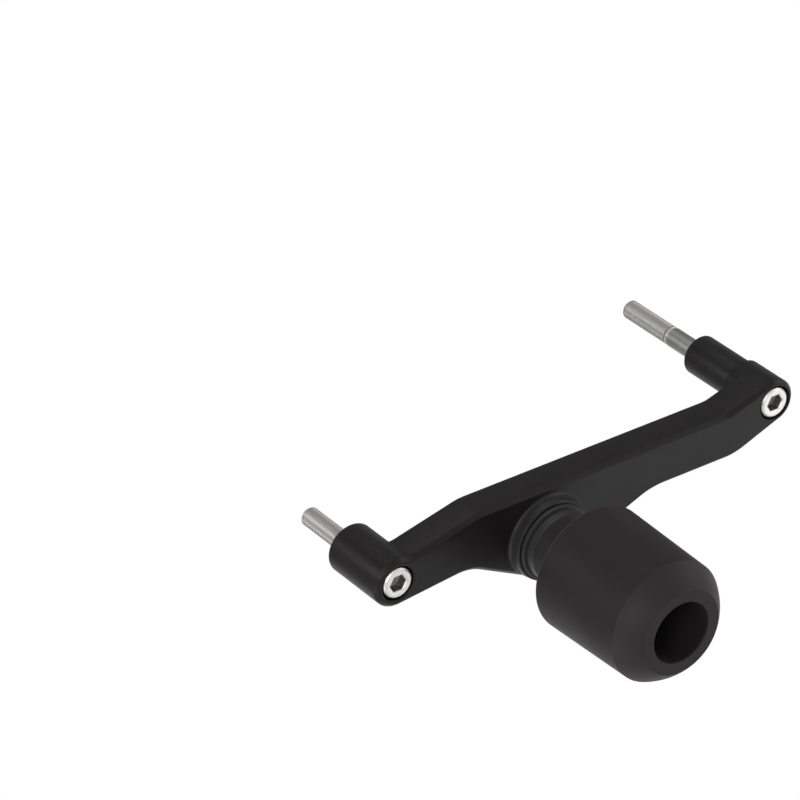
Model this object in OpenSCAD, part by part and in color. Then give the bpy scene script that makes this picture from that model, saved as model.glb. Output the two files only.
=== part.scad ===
// Frame slider for a motorcycle: a machined arm bolted to the frame at both ends,
// with a turned bobbin standing off it on a spindle.
// X runs along the arm, Z is up, and +Y points at the motorcycle.
// The origin is the centre of the left boss's seat.

/* [Arm] */
// Thickness of the arm along Y
arm_t = 18; // [14:0.5:24]
// Height of the arm's straight middle stretch
arm_h = 24.7; // [20:0.1:30]
// Height of the middle stretch's top face above the left bolt
arm_top = 20.2; // [17:0.1:23]
// Chamfer round the arm's front face
front_chamfer = 2; // [0.8:0.1:3]
// Chamfer round the arm's back face
back_chamfer = 0.8; // [0.3:0.1:1.2]

/* [Places of the bolts] */
// Distance from the left bolt to the right bolt along X
span_x = 223.8; // [200:0.1:260]
// Height of the right bolt above the left bolt
span_z = 16.7; // [12:0.1:20]
// Distance from the left bolt to the bobbin along X
lobe_x = 85.5; // [75:0.5:110]
// Depth of the bobbin's axis below the left bolt
lobe_drop = 6.4; // [2:0.1:10]

/* [Bosses] */
// Radius of the left boss
left_boss_r = 12.75; // [11.5:0.05:15]
// Length of the left boss, from the arm's front face to its seat
left_boss_l = 38; // [26:0.5:50]
// Radius of the right boss
right_boss_r = 11.75; // [11:0.05:14]
// Length of the right boss, from the arm's front face to its back face
right_boss_l = 25; // [20:0.5:32]
// Radius of the arm's lobe round the bobbin's axis
lobe_r = 22; // [20:0.5:28]
// Radius of the raised pad's face on the front of the lobe
pad_r = 20.8; // [19.5:0.1:21]
// Radius of the raised pad at the arm
pad_base_r = 21.6; // [21:0.1:21.8]
// Height of the raised pad
pad_h = 6; // [4:0.5:10]
// Radius of the fillet between the arm's front face and the pad
pad_fillet = 2; // [1:0.5:4.5]

/* [Bolts] */
// Radius of the frame bolts' plain shanks
shank_r = 5; // [4.5:0.1:6]
// How far the threads, drawn as plain cylinders, lie under the shanks' surface
thread_step = 0.3; // [0.2:0.05:0.6]
// Radius of the frame bolts' socket heads
head_r = 8; // [7.4:0.1:8.5]
// Height of the frame bolts' socket heads
head_h = 10; // [8:0.5:12]
// Chamfer round the socket heads and the bolts' ends
bolt_chamfer = 1; // [0.5:0.1:1.4]
// Width across the flats of the frame bolts' hexagon sockets
socket_w = 8; // [6:0.5:9]
// Depth of the hexagon sockets
socket_d = 5; // [3:0.5:6]
// Length of the left bolt under its head
left_bolt_l = 61.5; // [50:0.5:80]
// Length of the right bolt under its head
right_bolt_l = 102.3; // [90:0.1:120]
// Length of the thread on the left and right bolts
thread_l = 33; // [20:0.5:33]
// Radius of the bobbin bolt's shank
bobbin_bolt_r = 6; // [5:0.1:7]
// Radius of the bobbin bolt's head
bobbin_head_r = 9; // [8:0.1:10.5]
// Height of the bobbin bolt's head
bobbin_head_h = 12; // [9:0.5:14]
// Width across the flats of the bobbin bolt's hexagon socket
bobbin_socket_w = 10; // [6:0.5:11]
// How far the bobbin bolt's end stands out of the arm's back
bobbin_bolt_out = 1.2; // [0:0.1:3]
// Radius of the counterbores round the two frame bolts' heads
counterbore_r = 8.9; // [8.7:0.1:9.4]
// Depth of the counterbores
counterbore_d = 10; // [8:0.5:12]
// Radial clearance round the two frame bolts in their bosses
bolt_gap = 1; // [0.3:0.05:1.4]

/* [Right spacer] */
// Radius of the spacer
spacer_r = 10.2; // [8.5:0.1:11]
// Length of the spacer
spacer_l = 32; // [20:0.5:45]
// Radial clearance round the bolt in the spacer
spacer_gap = 0.6; // [0.3:0.05:1]

/* [Spindle] */
// Radius of the thin ring between the pad and the spindle
ring_r = 19.5; // [18.5:0.1:20.5]
// Thickness of the ring
ring_t = 2; // [1:0.5:4]
// Radius of the spindle's collar
collar_r = 18; // [17:0.1:19]
// Length of the collar
collar_l = 5.5; // [4:0.5:8]
// Length of the taper from the collar to the neck
taper_l = 6.5; // [3:0.5:9]
// Radius of the spindle's neck
neck_r = 15.4; // [13:0.1:16]
// Length of the whole spindle
spindle_l = 35; // [30:0.5:45]
// Radius of the flange that sits in the bobbin
flange_r = 16.8; // [16.2:0.1:18]
// Thickness of that flange
flange_t = 6; // [4:0.5:9]
// Radial clearance round the bobbin's bolt
core_gap = 0.25; // [0.1:0.05:0.5]
// Radial clearance of the bobbin bolt's thread in the arm's tapped hole
tap_gap = 0.05; // [0.02:0.01:0.1]

/* [Bobbin] */
// Length of the bobbin
bobbin_l = 67; // [60:0.5:90]
// Radius of the bobbin at its back rim
bobbin_back_r = 32.4; // [28:0.1:36]
// Radius of the bobbin where its nose starts
bobbin_front_r = 31; // [27:0.1:35]
// Length of the rounded nose
nose_l = 11.5; // [8:0.5:16]
// Shape of the nose, from 0, a straight cone, to 1, fully rounded
nose_bulge = 0.25; // [0:0.05:1]
// Radius of the flat ring on the nose
nose_flat_r = 21.7; // [20:0.1:25]
// Fillet round the back rim
rim_fillet = 1.5; // [0.5:0.5:4]
// Radius of the tool hole in the nose
tool_r = 15.6; // [13:0.1:17]
// Depth of the tool hole
tool_d = 41; // [36:0.5:41]
// Depth of the recess in the bobbin's back
recess_d = 10; // [8:0.5:12]
// Radial clearance round the flange in that recess
recess_gap = 0.4; // [0.1:0.1:1]
// Radius of the washer under the bobbin bolt's head
washer_r = 13; // [10.5:0.5:15]
// Thickness of that washer
washer_t = 2; // [1:0.5:3]

/* [Hidden] */

ROUND = 96;
SEAT_CHAMFER = 0.6;
// The arm's round ends lie this much inside the bosses that they run into
SKIN = 0.05;
OVER = 1;

front_y = -left_boss_l;
arm_back_y = front_y + arm_t;
arm_bottom = arm_top - arm_h;
lobe_z = -lobe_drop;
pad_y = front_y - pad_h;
ring_y = pad_y - ring_t;
spindle_y = ring_y - spindle_l;
bobbin_back_y = spindle_y + recess_d;
nose_y = bobbin_back_y - bobbin_l;
washer_y = nose_y + tool_d - washer_t;
recess_r = flange_r + recess_gap;
core_r = bobbin_bolt_r + core_gap;
tapped_r = bobbin_bolt_r - thread_step + tap_gap;
bobbin_bolt_l = arm_back_y + bobbin_bolt_out - washer_y;
right_seat_y = front_y + right_boss_l;

// Radii of the blends along the arm's outline
valley_r = 25;
// The hollow left of the lobe lies this far under the middle stretch's bottom
valley_drop = 4.8;
flare_r = 40;
rise_r = 30;
dip_r = 20;
kink_r = 30;
root_r = 10;
// The left boss's root blend sits this far off the boss, round from +X by this angle
root_gap = 0.1;
root_angle = 70;
root_reach = left_boss_r + root_r + root_gap;

// Circles that the outline is wrapped round, anticlockwise from the left end, as
// [x, z, radius]. A positive radius is a round corner and a negative one a hollow.
wrap = [
    [0, 0, left_boss_r - SKIN],
    [lobe_x - 48.5, arm_bottom - valley_drop - valley_r, -valley_r],
    [lobe_x, lobe_z, lobe_r],
    [lobe_x + 71.5, arm_bottom - flare_r, -flare_r],
    [span_x - 28.8, arm_bottom + rise_r, rise_r],
    [span_x, span_z, right_boss_r - SKIN],
    [span_x - 32.3, arm_top + dip_r, -dip_r],
    [lobe_x - 35.5, arm_top - kink_r, kink_r],
    [root_reach * cos(root_angle), root_reach * sin(root_angle), -root_r]
];
ARC_STEP = 6;
RIM = 4;

// Angle of the outward normal on the straight line from circle a to circle b
function normal_angle(a, b) =
    let (d = [b[0] - a[0], b[1] - a[1]])
    atan2(d[1], d[0]) - acos((a[2] - b[2]) / norm(d));

// The turn from angle a to angle b, anticlockwise round a corner and clockwise in a hollow
function turn(a, b, r) =
    let (t = b - a)
    r > 0 ? t - 360 * floor(t / 360) : t - 360 * ceil(t / 360);

// Points along circle i of the outline, drawn in by inset
function wrap_arc(i, inset) =
    let (n = len(wrap), c = wrap[i],
         a0 = normal_angle(wrap[(i + n - 1) % n], c),
         sweep = turn(a0, normal_angle(c, wrap[(i + 1) % n]), c[2]),
         steps = max(2, ceil(abs(sweep) / ARC_STEP)))
    [for (k = [0:steps])
        let (a = a0 + sweep * k / steps)
        [c[0] + (c[2] - inset) * cos(a), c[1] + (c[2] - inset) * sin(a)]];

function outline(inset) = [for (i = [0:len(wrap) - 1]) each wrap_arc(i, inset)];

// Points [radius, y] along a quarter of an ellipse from one axis to the other
function quarter(r0, y0, r1, y1, steps) =
    [for (k = [0:steps]) let (a = 90 * k / steps)
        [r0 + (r1 - r0) * (1 - cos(a)), y0 + (y1 - y0) * sin(a)]];

// A solid of revolution about the Y axis, from points [radius, y]
module turned(points) {
    rotate([-90, 0, 0]) rotate_extrude($fn = ROUND) polygon(points);
}

// A cylinder along Y from y0 to y1
module rod(r, y0, y1) {
    translate([0, y0, 0]) rotate([-90, 0, 0]) cylinder(r = r, h = y1 - y0, $fn = ROUND);
}

module at_right_bolt() {
    translate([span_x, 0, span_z]) children();
}

module at_bobbin() {
    translate([lobe_x, 0, lobe_z]) children();
}

// The arm's rim, as a closed band round a core of the outline drawn in by RIM.
// Each loop of the band is the outline drawn in by its first number, at its second as y.
module rim() {
    loops = [[RIM, front_y], [front_chamfer, front_y], [0, front_y + front_chamfer],
             [0, arm_back_y - back_chamfer], [back_chamfer, arm_back_y], [RIM, arm_back_y]];
    n = len(outline(0));
    m = len(loops);
    points = [for (p = loops) for (q = outline(p[0])) [q[0], p[1], q[1]]];
    faces = [for (k = [0:m - 1]) for (i = [0:n - 1])
        let (j = (i + 1) % n, next = (k + 1) % m)
        [k * n + i, k * n + j, next * n + j, next * n + i]];
    polyhedron(points, faces);
}

// Flat slab of the arm's outline, drawn in by inset, from y0 to y1
module slab(inset, y0, y1) {
    translate([0, y1, 0]) rotate([90, 0, 0]) linear_extrude(y1 - y0) polygon(outline(inset));
}

// The flat arm, chamfered round both faces
module arm() {
    rim();
    slab(RIM, front_y, arm_back_y);
}

// A boss from inside the arm to its seat at y1, with a chamfered rim
module boss(r, y1) {
    y0 = front_y + front_chamfer;
    turned([[0, y0], [r, y0], [r, y1 - SEAT_CHAMFER], [r - SEAT_CHAMFER, y1], [0, y1]]);
}

// The raised pad, with its root fillet kept inside the arm's front face
module pad() {
    turned([[0, pad_y], [pad_r - SEAT_CHAMFER, pad_y], [pad_r, pad_y + SEAT_CHAMFER],
            [pad_base_r, front_y], [pad_base_r, front_y + front_chamfer],
            [0, front_y + front_chamfer]]);
    intersection() {
        turned(concat([[0, front_y + OVER], [0, front_y - pad_fillet]],
            quarter(pad_base_r, front_y - pad_fillet, pad_base_r + pad_fillet, front_y, 8),
            [[pad_base_r + pad_fillet, front_y + OVER]]));
        translate([-lobe_x, 0, -lobe_z]) slab(front_chamfer, pad_y, front_y + OVER);
    }
}

// Clearance bore for a frame bolt with a counterbore for its head
module bolt_bore(y1) {
    rod(shank_r + bolt_gap, front_y + OVER, y1 + OVER);
    rod(counterbore_r, front_y - OVER, front_y + counterbore_d);
}

module bracket() {
    color("#2b2b2d") difference() {
        union() {
            arm();
            boss(left_boss_r, 0);
            at_right_bolt() boss(right_boss_r, right_seat_y);
            at_bobbin() pad();
        }
        bolt_bore(0);
        at_right_bolt() bolt_bore(right_seat_y);
        at_bobbin() rod(tapped_r, pad_y - OVER, arm_back_y + OVER);
    }
}

// Socket head bolt: its head's seat is at y = 0 and it runs along +Y
module bolt(r, top_r, top_h, across, length, thread) {
    c = bolt_chamfer;
    shoulder = length - thread;
    thread_r = r - thread_step;
    difference() {
        turned([[0, -top_h], [top_r - c, -top_h], [top_r, c - top_h], [top_r, 0],
                [r, 0], [r, shoulder], [thread_r, shoulder],
                [thread_r, length - c], [thread_r - c, length], [0, length]]);
        translate([0, -top_h - OVER, 0]) rotate([-90, 0, 0])
            cylinder(d = across / cos(30), h = socket_d + OVER, $fn = 6);
    }
}

module frame_bolt(length) {
    color("#b9b9b6") translate([0, front_y + counterbore_d, 0])
        bolt(shank_r, head_r, head_h, socket_w, length, thread_l);
}

module left_bolt() {
    frame_bolt(left_bolt_l);
}

module right_bolt() {
    at_right_bolt() frame_bolt(right_bolt_l);
}

module bobbin_bolt() {
    color("#b9b9b6") at_bobbin() translate([0, washer_y, 0])
        bolt(bobbin_bolt_r, bobbin_head_r, bobbin_head_h, bobbin_socket_w,
             bobbin_bolt_l, arm_back_y + bobbin_bolt_out - pad_y);
}

// Tube between the right boss and the motorcycle
module right_spacer() {
    c = SEAT_CHAMFER;
    y1 = right_seat_y + spacer_l;
    r0 = shank_r + spacer_gap;
    color("#303032") at_right_bolt()
        turned([[r0, right_seat_y], [spacer_r - c, right_seat_y],
                [spacer_r, right_seat_y + c], [spacer_r, y1 - c],
                [spacer_r - c, y1], [r0, y1]]);
}

// Thin ring between the pad and the spindle
module pad_ring() {
    c = SEAT_CHAMFER / 2;
    color("#3a3a3c") at_bobbin()
        turned([[core_r, ring_y], [ring_r - c, ring_y], [ring_r, ring_y + c],
                [ring_r, pad_y - c], [ring_r - c, pad_y], [core_r, pad_y]]);
}

// Turned stand-off with a collar at the arm and a flange in the bobbin
module spindle() {
    c = SEAT_CHAMFER;
    collar_y = ring_y - collar_l;
    flange_y = spindle_y + flange_t;
    lip = flange_r - neck_r;
    color("#343436") at_bobbin()
        turned([[core_r, spindle_y], [flange_r - c, spindle_y], [flange_r, spindle_y + c],
                [flange_r, flange_y - lip], [neck_r, flange_y],
                [neck_r, collar_y - taper_l], [collar_r, collar_y], [collar_r, ring_y - c],
                [collar_r - c, ring_y], [core_r, ring_y]]);
}

// Points [radius, y] from (r0, y0) to (r1, y1), between a straight cone and a quarter ellipse
function nose_curve(r0, y0, r1, y1, bulge, steps) =
    let (q = quarter(r0, y0, r1, y1, steps))
    [for (k = [0:steps])
        let (t = k / steps)
        [q[k][0] * bulge + (r0 + (r1 - r0) * t) * (1 - bulge),
         q[k][1] * bulge + (y0 + (y1 - y0) * t) * (1 - bulge)]];

// Turned bobbin with a recess for the spindle and a tool hole in its nose
module bobbin() {
    nose_start_y = nose_y + nose_l;
    back = bobbin_back_y;
    floor_y = nose_y + tool_d;
    c = SEAT_CHAMFER;
    nose = nose_curve(bobbin_front_r, nose_start_y, nose_flat_r, nose_y, nose_bulge, 12);
    rim = quarter(bobbin_back_r, back - rim_fillet, bobbin_back_r - rim_fillet, back, 8);
    color("#28282a") at_bobbin()
        turned(concat([[core_r, floor_y], [tool_r, floor_y], [tool_r, nose_y + c],
                       [tool_r + c, nose_y]],
            [for (i = [len(nose) - 1:-1:0]) nose[i]], rim,
            [[recess_r + c, back], [recess_r, back - c], [recess_r, spindle_y],
             [core_r, spindle_y]]));
}

// Washer at the bottom of the tool hole
module bobbin_washer() {
    color("#a9a9a6") at_bobbin()
        turned([[core_r, washer_y], [washer_r, washer_y], [washer_r, washer_y + washer_t],
                [core_r, washer_y + washer_t]]);
}

bracket();
left_bolt();
right_bolt();
right_spacer();
pad_ring();
spindle();
bobbin();
bobbin_washer();
bobbin_bolt();
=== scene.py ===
import math

import bmesh
import bpy
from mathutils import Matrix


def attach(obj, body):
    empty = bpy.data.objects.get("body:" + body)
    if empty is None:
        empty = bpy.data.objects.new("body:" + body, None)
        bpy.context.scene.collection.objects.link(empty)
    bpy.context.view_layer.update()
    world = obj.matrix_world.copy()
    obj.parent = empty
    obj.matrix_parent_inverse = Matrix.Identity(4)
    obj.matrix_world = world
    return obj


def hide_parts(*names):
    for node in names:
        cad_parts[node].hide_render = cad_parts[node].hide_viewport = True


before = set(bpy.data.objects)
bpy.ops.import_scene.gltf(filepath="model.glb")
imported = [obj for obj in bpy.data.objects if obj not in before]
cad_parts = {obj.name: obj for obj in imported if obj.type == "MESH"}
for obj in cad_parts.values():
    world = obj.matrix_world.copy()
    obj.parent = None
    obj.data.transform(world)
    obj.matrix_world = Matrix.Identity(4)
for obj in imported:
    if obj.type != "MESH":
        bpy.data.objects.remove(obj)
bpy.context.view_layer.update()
MM = 0.001

# Sizes of the object in mm, in the frame of the CAD model
LEFT = (0.0, 0.0)
RIGHT = (223.8, 16.7)
LOBE = (85.5, -6.4)
FRONT = -38.0
ARM_BACK = -20.0
ARM_TOP = 20.2
ARM_BOTTOM = -4.5
LEFT_R = 12.75
RIGHT_R = 11.75
LOBE_R = 22.0
FRONT_CHAMFER = 2.0
BACK_CHAMFER = 0.8
PITCH = 1.25


def finish_mesh(name, bm, limit=32.0):
    """Turns a bmesh in mm into an object in metres with smooth faces and sharp edges."""
    bmesh.ops.recalc_face_normals(bm, faces=bm.faces)
    for v in bm.verts:
        v.co *= MM
    mesh = bpy.data.meshes.new(name)
    bm.to_mesh(mesh)
    bm.free()
    obj = bpy.data.objects.new(name, mesh)
    bpy.context.scene.collection.objects.link(obj)
    mark_sharp(obj, limit)
    return obj


def mark_sharp(obj, limit=32.0):
    bm = bmesh.new()
    bm.from_mesh(obj.data)
    for f in bm.faces:
        f.smooth = True
    for e in bm.edges:
        flat = len(e.link_faces) == 2 and e.calc_face_angle(math.pi) < math.radians(limit)
        e.smooth = flat
    bm.to_mesh(obj.data)
    bm.free()


def value(r, a):
    return r(a) if callable(r) else r


def lathe(name, axis, rings, n=128, limit=32.0, closed=False):
    """A shape turned about the Y axis at axis=(x, z) from rings (y, r); r may be a function of the angle."""
    bm = bmesh.new()
    rows = []
    for y, r in rings:
        if not callable(r) and r <= 1e-6:
            rows.append([bm.verts.new((axis[0], y, axis[1]))])
            continue
        row = []
        for k in range(n):
            a = 2 * math.pi * k / n
            q = value(r, a)
            row.append(bm.verts.new((axis[0] + q * math.cos(a), y, axis[1] + q * math.sin(a))))
        rows.append(row)
    pairs = list(zip(rows, rows[1:]))
    if closed:
        pairs.append((rows[-1], rows[0]))
    for a, b in pairs:
        for k in range(n):
            j = (k + 1) % n
            if len(a) == 1 and len(b) == 1:
                continue
            if len(a) == 1:
                bm.faces.new((a[0], b[j], b[k]))
            elif len(b) == 1:
                bm.faces.new((a[k], a[j], b[0]))
            else:
                bm.faces.new((a[k], a[j], b[j], b[k]))
    return finish_mesh(name, bm, limit)


def rounded(points, d, keep=()):
    """Rounds the inner corners of a line of points (y, r) by cutting d off each side."""
    out = [points[0]]
    for i in range(1, len(points) - 1):
        p, q, s = points[i - 1], points[i], points[i + 1]
        if i in keep:
            out.append(q)
            continue
        lp = math.dist(p, q)
        ls = math.dist(q, s)
        c = min(d, 0.45 * lp, 0.45 * ls)
        a = (q[0] + (p[0] - q[0]) * c / lp, q[1] + (p[1] - q[1]) * c / lp)
        b = (q[0] + (s[0] - q[0]) * c / ls, q[1] + (s[1] - q[1]) * c / ls)
        for k in range(4):
            t = k / 3
            out.append(((1 - t) ** 2 * a[0] + 2 * t * (1 - t) * q[0] + t * t * b[0],
                        (1 - t) ** 2 * a[1] + 2 * t * (1 - t) * q[1] + t * t * b[1]))
    out.append(points[-1])
    return out


def quarter(y0, r0, y1, r1, steps=12):
    """Quarter of an ellipse that leaves (y0, r0) along Y and ends at (y1, r1)."""
    return [(y0 + (y1 - y0) * math.sin(t), r0 + (r1 - r0) * (1 - math.cos(t)))
            for t in (math.pi / 2 * k / steps for k in range(steps + 1))]


def hexagon(across):
    """Radius of a hexagon of that width across its flats, as a function of the angle."""
    def radius(a):
        b = (a % (math.pi / 3)) - math.pi / 6
        return across / 2 / math.cos(b)
    return radius


ROOT = LEFT_R + 10.1
WRAP = [
    (0.0, 0.0, LEFT_R - 0.05),
    (37.0, ARM_BOTTOM - 29.8, -25.0),
    (LOBE[0], LOBE[1], LOBE_R),
    (157.0, ARM_BOTTOM - 40.0, -40.0),
    (195.0, ARM_BOTTOM + 30.0, 30.0),
    (RIGHT[0], RIGHT[1], RIGHT_R - 0.05),
    (191.5, ARM_TOP + 20.0, -20.0),
    (50.0, ARM_TOP - 30.0, 30.0),
    (ROOT * math.cos(math.radians(70)), ROOT * math.sin(math.radians(70)), -10.0),
]
ARC_STEP = math.radians(2.5)


def normal_angle(a, b):
    d = (b[0] - a[0], b[1] - a[1])
    return math.atan2(d[1], d[0]) - math.acos((a[2] - b[2]) / math.hypot(*d))


def outline(inset):
    points = []
    n = len(WRAP)
    turn = 2 * math.pi
    for i, c in enumerate(WRAP):
        a0 = normal_angle(WRAP[i - 1], c)
        t = normal_angle(c, WRAP[(i + 1) % n]) - a0
        sweep = t - turn * math.floor(t / turn) if c[2] > 0 else t - turn * math.ceil(t / turn)
        steps = max(2, math.ceil(abs(sweep) / ARC_STEP))
        for k in range(steps + 1):
            a = a0 + sweep * k / steps
            points.append((c[0] + (c[2] - inset) * math.cos(a), c[1] + (c[2] - inset) * math.sin(a)))
    return points


def prism(name, layers, limit=32.0):
    """The arm's outline through layers (y, inset), capped at both ends."""
    bm = bmesh.new()
    rows = [[bm.verts.new((x, y, z)) for x, z in outline(inset)] for y, inset in layers]
    n = len(rows[0])
    for a, b in zip(rows, rows[1:]):
        for k in range(n):
            j = (k + 1) % n
            bm.faces.new((a[k], a[j], b[j], b[k]))
    bm.faces.new(rows[0])
    bm.faces.new(list(reversed(rows[-1])))
    return finish_mesh(name, bm, limit)


def combine(base, other, how):
    mod = base.modifiers.new("bool", "BOOLEAN")
    mod.object = other
    mod.operation = how
    mod.solver = "EXACT"
    bpy.context.view_layer.objects.active = base
    bpy.ops.object.modifier_apply(modifier=mod.name)
    bpy.data.objects.remove(other)


def boss(name, axis, r, y1):
    pts = [(FRONT + 3, 0), (FRONT + 3, r), (y1 - 0.6, r), (y1, r - 0.6), (y1, 0)]
    return lathe(name, axis, rounded(pts, 0.3, keep=(1,)), n=144)


def flare(name, axis, r, y_far, y_face, width):
    """A fillet of that width where a boss of radius r meets one of the arm's faces."""
    inside = y_face + (1.0 if y_far < y_face else -1.0)
    pts = [(y_far, 0)] + quarter(y_far, r, y_face, r + width) + [(inside, r + width), (inside, 0)]
    return lathe(name, axis, pts, n=144)


bracket = prism("bracket_body", rounded(
    [(FRONT, 6.0), (FRONT, FRONT_CHAMFER), (FRONT + FRONT_CHAMFER, 0.0),
     (ARM_BACK - BACK_CHAMFER, 0.0), (ARM_BACK, BACK_CHAMFER), (ARM_BACK, 6.0)], 0.45))
for axis, r, y1, name in ((LEFT, LEFT_R, 0.0, "left_boss"), (RIGHT, RIGHT_R, -13.0, "right_boss")):
    combine(bracket, boss(name, axis, r, y1), "UNION")
    root = flare(name + "_root", axis, r, ARM_BACK + 1.0, ARM_BACK, 1.0)
    combine(root, prism("cut", [(ARM_BACK - 2, 0.9), (ARM_BACK + 6, 0.9)]), "INTERSECT")
    combine(bracket, root, "UNION")

pad = lathe("pad", LOBE, rounded(
    [(FRONT - 6, 0), (FRONT - 6, 20.3), (FRONT - 5.5, 20.8), (FRONT, 21.6), (FRONT + 2, 21.6),
     (FRONT + 2, 0)], 0.3), n=160)
combine(bracket, pad, "UNION")
root = flare("pad_root", LOBE, 21.6, FRONT - 2.0, FRONT, 2.0)
combine(root, prism("cut", [(FRONT - 6, 2.2), (FRONT + 2, 2.2)]), "INTERSECT")
combine(bracket, root, "UNION")
for axis, y1 in ((LEFT, 0.0), (RIGHT, -13.0)):
    combine(bracket, lathe("bore", axis, [(FRONT + 5, 0), (FRONT + 5, 6.0), (y1 + 1, 6.0), (y1 + 1, 0)]), "DIFFERENCE")
    mouth = [(FRONT - 1, 0), (FRONT - 1, 9.9), (FRONT + 0.0, 9.4), (FRONT + 0.5, 8.9), (FRONT + 10, 8.9), (FRONT + 10, 0)]
    combine(bracket, lathe("counterbore", axis, mouth), "DIFFERENCE")
combine(bracket, lathe("tapped", LOBE, [(FRONT - 8, 0), (FRONT - 8, 6.05), (ARM_BACK - 0.6, 6.05), (ARM_BACK + 1, 7.65), (ARM_BACK + 1, 0)]), "DIFFERENCE")
mark_sharp(bracket, 30.0)


def thread(r, depth, y0, y1, step=10):
    """Rings of a screw thread from y0 to y1 whose crest has radius r."""
    rings = []
    count = int((y1 - y0) / PITCH * step)
    for k in range(count + 1):
        y = y0 + (y1 - y0) * k / count
        def radius(a, y=y):
            phase = (y / PITCH - a / (2 * math.pi)) % 1.0
            wave = min(1.0, max(0.0, abs(phase - 0.5) * 2.6 - 0.25))
            fade = min(1.0, (y - y0) / PITCH, (y1 - y) / PITCH + 0.15)
            return r - depth * wave * max(0.0, fade)
        rings.append((y, radius))
    return rings


def bolt(name, axis, head_y, r, head_r, head_h, across, depth, length, thread_l):
    """Socket head bolt whose head's seat is at head_y."""
    hexa = hexagon(across)
    wide = hexagon(across + 0.7)
    front = head_y - head_h
    tip = head_y + length
    rings = [(front + depth + 1.2, 0), (front + depth, hexa), (front + 0.45, hexa), (front + 0.05, wide)]
    rings += rounded([(front, across * 0.62), (front, head_r - 1.0), (front + 1.0, head_r),
                      (head_y, head_r), (head_y, r)], 0.35, keep=())
    start = tip - thread_l
    rings += quarter(start - 2.4, r, start - 0.9, r - 0.6, 6) + [(start - 0.2, r - 0.6)]
    rings += thread(r - 0.15, 0.45, start, tip - 1.0)
    rings += [(tip - 0.3, r - 0.75), (tip, r - 1.2), (tip, 1.9), (tip - 0.5, 1.2), (tip - 1.1, 0)]
    return lathe(name, axis, rings, n=72, limit=38)


left_bolt = bolt("left_bolt_piece", LEFT, -28.0, 5.0, 8.0, 10.0, 8.0, 5.0, 61.5, 33.0)
right_bolt = bolt("right_bolt_piece", RIGHT, -28.0, 5.0, 8.0, 10.0, 8.0, 5.0, 102.3, 33.0)
bobbin_bolt = bolt("bobbin_bolt_piece", LOBE, -99.0, 6.0, 9.0, 12.0, 10.0, 5.0, 80.2, 25.2)


spacer = lathe("right_spacer_piece", RIGHT, rounded(
    [(-13.0, 5.6), (-13.0, 10.2), (19.0, 10.2), (19.0, 5.6)], 0.6), closed=True)
ring = lathe("pad_ring_piece", LOBE, rounded(
    [(-46.0, 6.25), (-46.0, 19.5), (-44.0, 19.5), (-44.0, 6.25)], 0.35), closed=True)
spindle = lathe("spindle_piece", LOBE, rounded(
    [(-81.0, 6.25), (-81.0, 16.8), (-76.4, 16.8), (-75.0, 15.4), (-58.0, 15.4), (-51.5, 18.0),
     (-46.6, 18.0), (-46.0, 17.4), (-46.0, 6.25)], 0.35), closed=True)
washer = lathe("bobbin_washer_piece", LOBE, rounded(
    [(-99.0, 6.25), (-99.0, 13.0), (-97.0, 13.0), (-97.0, 6.25)], 0.3), closed=True)

NOSE_BULGE = 0.25
nose = quarter(-126.5, 31.0, -138.0, 21.7, 18)
nose = [(y * NOSE_BULGE + (-126.5 - 11.5 * k / 18) * (1 - NOSE_BULGE),
         r * NOSE_BULGE + (31.0 - 9.3 * k / 18) * (1 - NOSE_BULGE))
        for k, (y, r) in enumerate(nose)]
rim = quarter(-72.5, 32.4, -71.0, 30.9, 8)
body = rounded([(-81.0, 6.25), (-97.0, 6.25), (-97.0, 15.6), (-138.0, 15.6)], 0.3)[:-1]
body += [(-137.4, 15.6), (-137.8, 15.75), (-138.0, 16.1)]
body += list(reversed(nose)) + rim
body += [(-71.0, 17.8), (-71.2, 17.35), (-71.6, 17.2), (-81.0, 17.2)]
bobbin = lathe("bobbin_piece", LOBE, body, n=192, limit=20.0, closed=True)


def new_material(name):
    m = bpy.data.materials.new(name)
    m.use_nodes = True
    tree = m.node_tree
    shader = tree.nodes["Principled BSDF"]
    return m, tree, shader


def noise_node(tree, vector, scale, detail=3.0):
    n = tree.nodes.new("ShaderNodeTexNoise")
    n.inputs["Scale"].default_value = scale
    n.inputs["Detail"].default_value = detail
    tree.links.new(vector, n.inputs["Vector"])
    return n.outputs["Fac"]


def ranged(tree, fac, low, high):
    n = tree.nodes.new("ShaderNodeMapRange")
    n.inputs["From Min"].default_value = 0.3
    n.inputs["From Max"].default_value = 0.7
    n.inputs["To Min"].default_value = low
    n.inputs["To Max"].default_value = high
    tree.links.new(fac, n.inputs["Value"])
    return n.outputs["Result"]


def grey(tree, fac, low, high, tint=(1.0, 1.0, 1.0)):
    n = tree.nodes.new("ShaderNodeMix")
    n.data_type = "RGBA"
    n.inputs["A"].default_value = [low * t for t in tint] + [1.0]
    n.inputs["B"].default_value = [high * t for t in tint] + [1.0]
    tree.links.new(fac, n.inputs["Factor"])
    return n.outputs["Result"]


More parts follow.
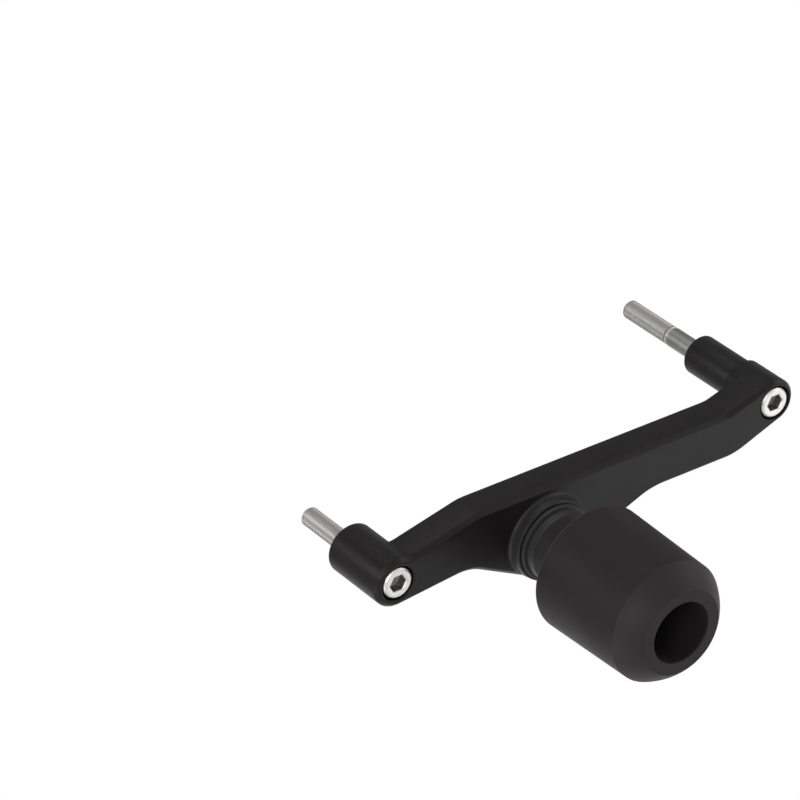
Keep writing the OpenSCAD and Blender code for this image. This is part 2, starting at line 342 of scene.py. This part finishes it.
def turned_vector(tree, axis):
    """Coordinates (distance from the axis, Y, 0), for marks that run round a turned piece."""
    coord = tree.nodes.new("ShaderNodeTexCoord").outputs["Object"]
    split = tree.nodes.new("ShaderNodeSeparateXYZ")
    tree.links.new(coord, split.inputs["Vector"])
    parts = []
    for socket, centre in (("X", axis[0]), ("Z", axis[1])):
        sub = tree.nodes.new("ShaderNodeMath")
        sub.operation = "SUBTRACT"
        sub.inputs[1].default_value = centre * MM
        tree.links.new(split.outputs[socket], sub.inputs[0])
        sq = tree.nodes.new("ShaderNodeMath")
        sq.operation = "POWER"
        sq.inputs[1].default_value = 2.0
        tree.links.new(sub.outputs[0], sq.inputs[0])
        parts.append(sq.outputs[0])
    add = tree.nodes.new("ShaderNodeMath")
    tree.links.new(parts[0], add.inputs[0])
    tree.links.new(parts[1], add.inputs[1])
    root = tree.nodes.new("ShaderNodeMath")
    root.operation = "SQRT"
    tree.links.new(add.outputs[0], root.inputs[0])
    join = tree.nodes.new("ShaderNodeCombineXYZ")
    tree.links.new(root.outputs[0], join.inputs["X"])
    tree.links.new(split.outputs["Y"], join.inputs["Y"])
    return join.outputs["Vector"], coord


def surface(name, low, high, rough, metallic=0.0, axis=None, grain=2500.0, bump=0.1, lathe_bump=0.0,
            lathe_scale=2500.0, edge=0.0, tint=(1.0, 1.0, 1.0), shine=0.5):
    m, tree, shader = new_material(name)
    shader.inputs["Specular IOR Level"].default_value = shine
    lines = None
    if axis is None:
        coord = tree.nodes.new("ShaderNodeTexCoord").outputs["Object"]
    else:
        lines, coord = turned_vector(tree, axis)
    wide = noise_node(tree, coord, 60.0)
    fine = noise_node(tree, coord, grain)
    tree.links.new(grey(tree, wide, low, high, tint), shader.inputs["Base Color"])
    tree.links.new(ranged(tree, wide, rough[0], rough[1]), shader.inputs["Roughness"])
    shader.inputs["Metallic"].default_value = metallic
    bumper = tree.nodes.new("ShaderNodeBump")
    bumper.inputs["Strength"].default_value = bump
    bumper.inputs["Distance"].default_value = 0.0001
    tree.links.new(fine, bumper.inputs["Height"])
    last = bumper
    if lines is not None and lathe_bump:
        marks = noise_node(tree, lines, lathe_scale, 2.0)
        second = tree.nodes.new("ShaderNodeBump")
        second.inputs["Strength"].default_value = lathe_bump
        second.inputs["Distance"].default_value = 0.0001
        tree.links.new(marks, second.inputs["Height"])
        tree.links.new(bumper.outputs["Normal"], second.inputs["Normal"])
        last = second
    if edge:
        bevel = tree.nodes.new("ShaderNodeBevel")
        bevel.samples = 4
        bevel.inputs["Radius"].default_value = edge * MM
        tree.links.new(bevel.outputs["Normal"], bumper.inputs["Normal"])
    tree.links.new(last.outputs["Normal"], shader.inputs["Normal"])
    return m


STEEL_TINT = (1.0, 0.99, 0.96)
BLACK_TINT = (1.12, 0.95, 1.0)
NEUTRAL = (1.0, 1.0, 1.0)
# Grey of the painted highlights on the bolt heads and on the right bolt's shoulder ring
HIGHLIGHT_GREY = 0.52


def paint_highlight(material, axis, zones, level, tint, least_r=0.0):
    """Paints a highlight into a turned piece's base colour where its Y lies in a zone (y0, y1) and its radius is over
    least_r, in mm.
    """
    tree = material.node_tree
    shader = tree.nodes["Principled BSDF"]
    link = shader.inputs["Base Color"].links[0]
    below = link.from_socket
    tree.links.remove(link)
    split = tree.nodes.new("ShaderNodeSeparateXYZ")
    tree.links.new(turned_vector(tree, axis)[0], split.inputs["Vector"])
    outer = tree.nodes.new("ShaderNodeMath")
    outer.operation = "GREATER_THAN"
    outer.inputs[1].default_value = least_r * MM
    tree.links.new(split.outputs["X"], outer.inputs[0])
    for y0, y1 in zones:
        near = tree.nodes.new("ShaderNodeMath")
        near.operation = "COMPARE"
        near.inputs[1].default_value = (y0 + y1) / 2 * MM
        near.inputs[2].default_value = (y1 - y0) / 2 * MM
        tree.links.new(split.outputs["Y"], near.inputs[0])
        both = tree.nodes.new("ShaderNodeMath")
        both.operation = "MULTIPLY"
        tree.links.new(near.outputs[0], both.inputs[0])
        tree.links.new(outer.outputs[0], both.inputs[1])
        mix = tree.nodes.new("ShaderNodeMix")
        mix.data_type = "RGBA"
        tree.links.new(both.outputs[0], mix.inputs["Factor"])
        tree.links.new(below, mix.inputs["A"])
        mix.inputs["B"].default_value = [level * t for t in tint] + [1.0]
        below = mix.outputs["Result"]
    tree.links.new(below, shader.inputs["Base Color"])


arm_coating = surface("arm_coating", 0.013, 0.016, (0.34, 0.4), edge=0.4, grain=3000.0, bump=0.1, shine=0.14,
                      tint=BLACK_TINT)
anodised = {
    "spindle": surface("spindle_anodised", 0.011, 0.014, (0.36, 0.44), axis=LOBE, lathe_bump=0.2, shine=0.17,
                       tint=BLACK_TINT),
    "spacer": surface("spacer_anodised", 0.011, 0.014, (0.36, 0.44), axis=RIGHT, lathe_bump=0.2, shine=0.17,
                      tint=BLACK_TINT),
}
nylon = surface("black_nylon", 0.0165, 0.019, (0.5, 0.58), axis=LOBE, lathe_bump=0.2, bump=0.2, shine=0.16,
                tint=BLACK_TINT)
steel = {
    "left": surface("left_steel", 0.2, 0.27, (0.34, 0.42), metallic=1.0, axis=LEFT, lathe_bump=0.15, bump=0.1,
                    tint=STEEL_TINT),
    "right": surface("right_steel", 0.2, 0.27, (0.34, 0.42), metallic=1.0, axis=RIGHT, lathe_bump=0.15, bump=0.1,
                     tint=STEEL_TINT),
    "bobbin": surface("bobbin_steel", 0.2, 0.27, (0.34, 0.42), metallic=1.0, axis=LOBE, lathe_bump=0.15, bump=0.1,
                      tint=STEEL_TINT),
}

# Painted highlights: the front of each bolt head and the right bolt's shoulder ring, where its thread starts, get a
# light grey base colour in place of bright reflections
HEAD_HIGHLIGHT_ZONE = (-39.0, -36.6)
paint_highlight(steel["left"], LEFT, [HEAD_HIGHLIGHT_ZONE], HIGHLIGHT_GREY, STEEL_TINT)
paint_highlight(steel["right"], RIGHT, [HEAD_HIGHLIGHT_ZONE, (39.0, 41.2)], HIGHLIGHT_GREY, STEEL_TINT)
# Painted sheen: the bobbin's nose cone gets a lighter base colour than its sides
paint_highlight(nylon, LOBE, [(-139.0, -126.5)], 0.03, BLACK_TINT, least_r=21.8)
# Painted highlight: a lighter band on the bobbin's rounded back rim, next to the spindle
paint_highlight(nylon, LOBE, [(-72.6, -70.9)], 0.045, BLACK_TINT, least_r=31.0)
# Painted light: the pad's flank and its fillet onto the arm are lighter than the rest of the coating
paint_highlight(arm_coating, LOBE, [(-43.8, -38.4)], 0.034, NEUTRAL, least_r=20.4)
# Painted light: the spindle's collar and the outer rim of the pad ring beside it are lighter than the rest of the
# anodising
paint_highlight(anodised["spindle"], LOBE, [(-51.3, -44.2)], 0.055, NEUTRAL, least_r=17.8)

PIECES = [
    (bracket, "bracket", "arm_coating", arm_coating),
    (left_bolt, "left_bolt", "bolt_steel", steel["left"]),
    (right_bolt, "right_bolt", "bolt_steel", steel["right"]),
    (bobbin_bolt, "bobbin_bolt", "bolt_steel", steel["bobbin"]),
    (washer, "bobbin_washer", "bolt_steel", steel["bobbin"]),
    (spacer, "right_spacer", "black_anodised", anodised["spacer"]),
    (ring, "pad_ring", "black_anodised", anodised["spindle"]),
    (spindle, "spindle", "black_anodised", anodised["spindle"]),
    (bobbin, "bobbin", "black_nylon", nylon),
]
for piece, node, slot, material in PIECES:
    piece.data.materials.clear()
    piece.data.materials.append(material)
    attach(piece, "root")
    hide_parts(node)


world = bpy.data.worlds.new("white_room")
bpy.context.scene.world = world
world.use_nodes = True
tree = world.node_tree
back = tree.nodes["Background"]
path = tree.nodes.new("ShaderNodeLightPath")
seen = path.outputs["Is Camera Ray"]
for other in ("Is Glossy Ray", "Is Transmission Ray"):
    top = tree.nodes.new("ShaderNodeMath")
    top.operation = "MAXIMUM"
    tree.links.new(seen, top.inputs[0])
    tree.links.new(path.outputs[other], top.inputs[1])
    seen = top.outputs[0]
strength = tree.nodes.new("ShaderNodeMapRange")
strength.inputs["To Min"].default_value = 0.0
strength.inputs["To Max"].default_value = 1.0
tree.links.new(seen, strength.inputs["Value"])
tree.links.new(strength.outputs["Result"], back.inputs["Strength"])
back.inputs["Color"].default_value = (1.0, 1.0, 1.0, 1.0)


def area_lamp(name, place, target, size, power):
    lamp = bpy.data.lights.new(name, "AREA")
    lamp.shape = "RECTANGLE"
    lamp.size, lamp.size_y = size
    lamp.energy = power
    obj = bpy.data.objects.new(name, lamp)
    obj.location = place
    away = (obj.location - obj.location.__class__(target)).normalized()
    obj.rotation_mode = "QUATERNION"
    obj.rotation_quaternion = away.to_track_quat("Z", "Y")
    bpy.context.scene.collection.objects.link(obj)
    return obj


MIDDLE = (0.1, -0.05, 0.0)
for name, place, size, power in (
        ("front_high", (-0.75, -1.05, 0.8), (1.2, 1.2), 5.5),
        ("front_left", (-0.96, -0.83, 0.49), (0.5, 0.5), 3.2),
        ("front_right", (1.0, -0.9, 0.4), (0.6, 0.6), 1.7),
        ("right", (0.98, -0.33, 0.55), (0.5, 0.5), 1.8),
        ("low_right", (0.81, -0.88, -0.37), (0.7, 0.7), 1.9),
        ("low_left", (-0.9, -0.3, -0.6), (0.6, 0.6), 3.2),
        ("left", (-1.0, 0.0, 0.25), (0.4, 0.6), 0.7),
        ("back_left", (-0.9, 0.7, 0.5), (0.6, 0.6), 3.0),
        ("back_top", (0.1, 0.6, 1.2), (0.8, 0.8), 2.0)):
    area_lamp(name, place, MIDDLE, size, power)

# A grey card behind the object that only reflections see, like a studio's dimmer far wall
bm = bmesh.new()
bmesh.ops.create_grid(bm, x_segments=1, y_segments=1, size=1.0)
card_mesh = bpy.data.meshes.new("far_card")
bm.to_mesh(card_mesh)
bm.free()
card = bpy.data.objects.new("far_card", card_mesh)
card.location = (0.3, 1.0, 0.2)
card.rotation_euler = (math.radians(90), 0.0, math.radians(-8))
card.scale = (1.7, 1.2, 1.0)
for flag in ("visible_camera", "visible_diffuse", "visible_transmission", "visible_shadow"):
    setattr(card, flag, False)
card_look, tree, shader = new_material("far_card")
shader.inputs["Base Color"].default_value = (0.0, 0.0, 0.0, 1.0)
shader.inputs["Specular IOR Level"].default_value = 0.0
shader.inputs["Emission Color"].default_value = (0.4, 0.4, 0.4, 1.0)
shader.inputs["Emission Strength"].default_value = 1.0
card_mesh.materials.append(card_look)
bpy.context.scene.collection.objects.link(card)

cam = bpy.data.cameras.new("camera")
cam.lens = 202.5
cam.sensor_width = 36.0
cam.clip_start, cam.clip_end = 0.05, 20.0
camera = bpy.data.objects.new("camera", cam)
camera.location = (-1.0097, -1.4263, 1.1388)
camera.rotation_euler = (math.radians(58.78), 0.0, math.radians(-36.05))
bpy.context.scene.collection.objects.link(camera)
bpy.context.scene.camera = camera
bpy.context.scene.view_settings.view_transform = "Standard"
